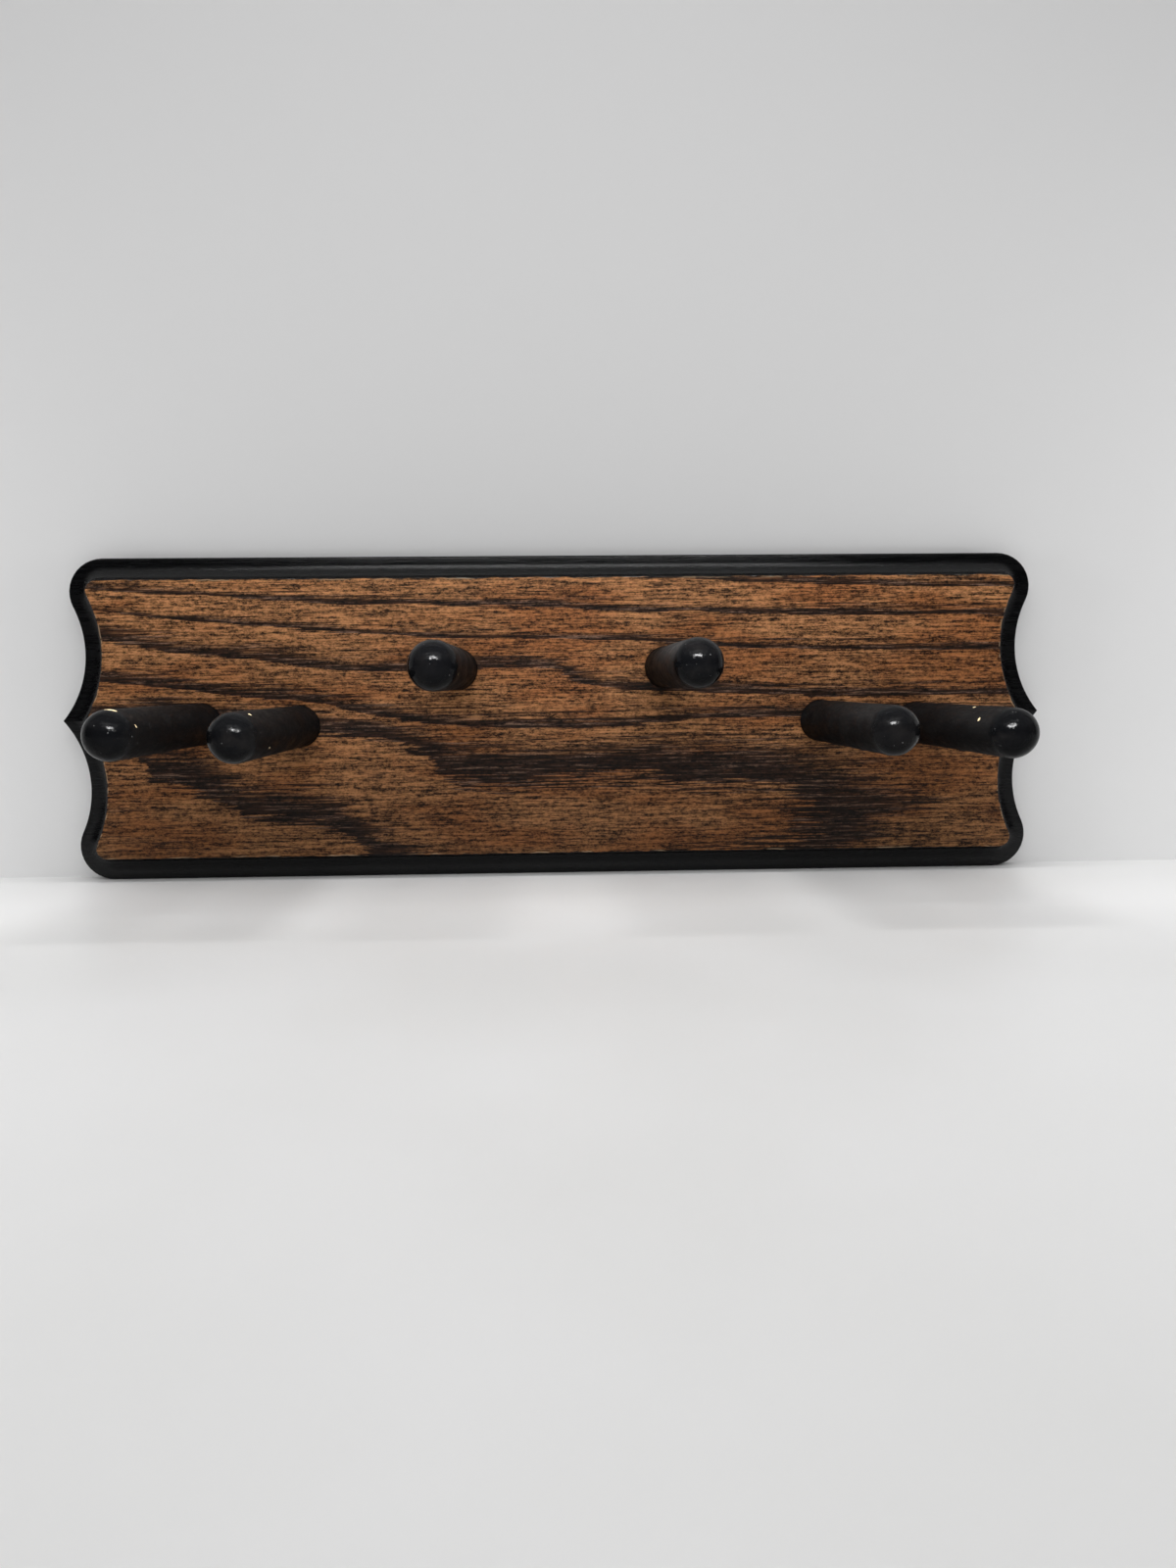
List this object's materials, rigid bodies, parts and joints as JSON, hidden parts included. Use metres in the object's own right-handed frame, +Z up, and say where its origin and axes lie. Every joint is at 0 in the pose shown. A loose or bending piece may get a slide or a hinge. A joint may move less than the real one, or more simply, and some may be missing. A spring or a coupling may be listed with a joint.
{
  "type": "mug rack",
  "caption": "Wall-hung wooden mug rack: a scalloped plank with a coved, painted edge, round-tipped dowel pegs for mugs, and keyhole hangers let into the back.",
  "frame": {"origin": "middle of the plank's back face, which lies flat on the wall", "axes": "+Y out of the back face, into the wall, so the pegs point along -Y; +X to the right for someone facing the rack; +Z up"},
  "size_m": [0.4572, 0.1461, 0.1486],
  "materials": {
    "stained_wood": "satin brown stain on open grain, the moulded edge painted black",
    "black_paint": "brushed gloss black paint on wood",
    "zinc_steel": "zinc plated"
  },
  "bodies": {
    "root": {"plank": "stained_wood", "peg_left_outer": "black_paint", "peg_left_inner": "black_paint", "peg_left_upper": "black_paint", "peg_right_upper": "black_paint", "peg_right_inner": "black_paint", "peg_right_outer": "black_paint", "hanger_plate_left": "zinc_steel", "hanger_plate_right": "zinc_steel", "hanger_screw_left_lower": "zinc_steel", "hanger_screw_left_upper": "zinc_steel", "hanger_screw_right_lower": "zinc_steel", "hanger_screw_right_upper": "zinc_steel"}
  },
  "joints": []
}
